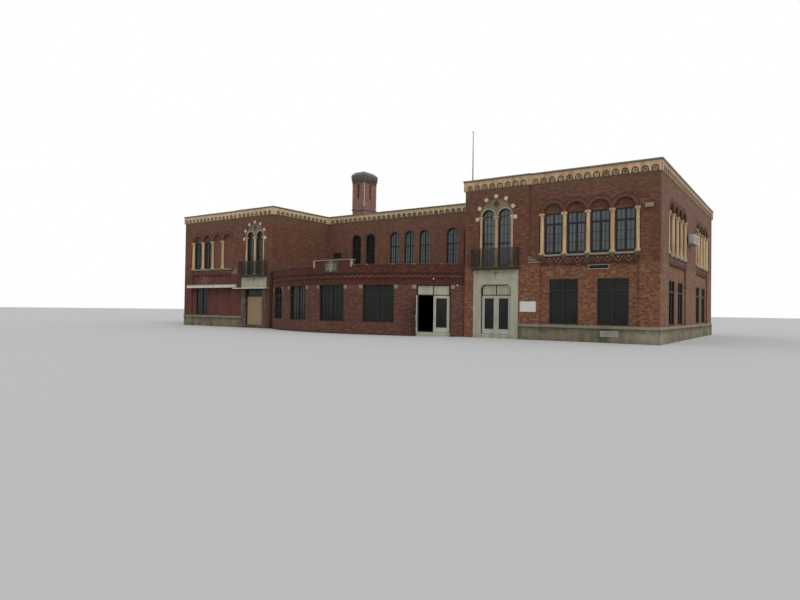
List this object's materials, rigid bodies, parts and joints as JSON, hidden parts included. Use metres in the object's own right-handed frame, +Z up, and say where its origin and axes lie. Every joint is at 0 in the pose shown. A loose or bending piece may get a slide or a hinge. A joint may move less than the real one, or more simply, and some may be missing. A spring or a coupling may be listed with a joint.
{
  "type": "two-storey brick school building",
  "caption": "Two-storey brick school building with arcaded wings, a bowed room across its court and hinged doors.",
  "frame": {"origin": "on the lowest grade, in the middle of the court, in the plane of the wing fronts", "axes": "+X along the front to the right wing, +Y to the back of the building, +Z up"},
  "size_m": [39.94, 22.2, 14.02],
  "materials": {
    "brick": "matt brickwork in running bond",
    "bow_brick": "redder brickwork",
    "terracotta": "matt buff terracotta",
    "stone": "dressed limestone",
    "base_stone": "weathered concrete and stone",
    "slab": "concrete",
    "coping": "dark folded metal",
    "frame_paint": "dark green paint",
    "glass": "clear",
    "iron": "black paint",
    "door_paint": "white paint",
    "infill_paint": "dull red paint",
    "plywood": "raw plywood",
    "white_paint": "pale paint",
    "steel": "grey paint"
  },
  "bodies": {
    "building": {"right_front_wall": "brick", "left_front_wall": "brick", "entry_walls": "brick", "entry_piers": "brick", "side_walls": "brick", "back_wall": "brick", "middle_wall": "brick", "inner_walls": "brick", "end_bases": "base_stone", "side_bases": "base_stone", "buttress_caps": "stone", "columns": "terracotta", "arcade_sills": "stone", "tympana": "stone", "arch_blocks": "terracotta", "surround_legs": "stone", "surround_heads": "stone", "balcony_slabs": "stone", "balcony_rails": "iron", "front_cornices": "terracotta", "back_cornice": "terracotta", "side_cornices": "terracotta", "court_cornices": "terracotta", "end_copings": "coping", "side_copings": "coping", "upper_frames": "frame_paint", "upper_glass": "glass", "ground_frames": "frame_paint", "ground_glass": "glass", "filled_windows": "infill_paint", "boarded_frame": "frame_paint", "entry_board": "plywood", "canopies": "white_paint", "bow_piers": "bow_brick", "bow_aprons": "bow_brick", "bow_parapet": "bow_brick", "bow_coping": "stone", "bow_roof": "slab", "bow_blocks": "stone", "bow_shield": "stone", "ground_floors": "slab", "upper_floors": "slab", "roof_slabs": "slab", "chimney_stack": "brick", "chimney_cap": "stone", "chimney_colonnettes": "terracotta", "flagpole": "steel", "condensers": "steel", "wall_fittings": "steel", "door_posts": "frame_paint", "overlights": "frame_paint", "thresholds": "stone", "downpipe": "iron"},
    "entry_door_left": {"entry_door_left": "door_paint"},
    "entry_door_right": {"entry_door_right": "door_paint"},
    "bow_door_left": {"bow_door_left": "door_paint"},
    "bow_door_right": {"bow_door_right": "door_paint"}
  },
  "joints": [
    {"name": "entry_left_hinge", "type": "hinge", "parent": "building", "child": "entry_door_left", "pos_m": [9.63, 0.055, 1.4], "axis": [0, 0, -1], "range_deg": [0, 90]},
    {"name": "entry_right_hinge", "type": "hinge", "parent": "building", "child": "entry_door_right", "pos_m": [11.5, 0.055, 1.4], "axis": [0, 0, 1], "range_deg": [0, 90]},
    {"name": "bow_left_hinge", "type": "hinge", "parent": "building", "child": "bow_door_left", "pos_m": [5.89197, -1.40433, 1.4], "axis": [0, 0, 1], "range_deg": [0, 90]},
    {"name": "bow_right_hinge", "type": "hinge", "parent": "building", "child": "bow_door_right", "pos_m": [7.65672, -0.44216, 1.4], "axis": [0, 0, 1], "range_deg": [0, 90]}
  ]
}
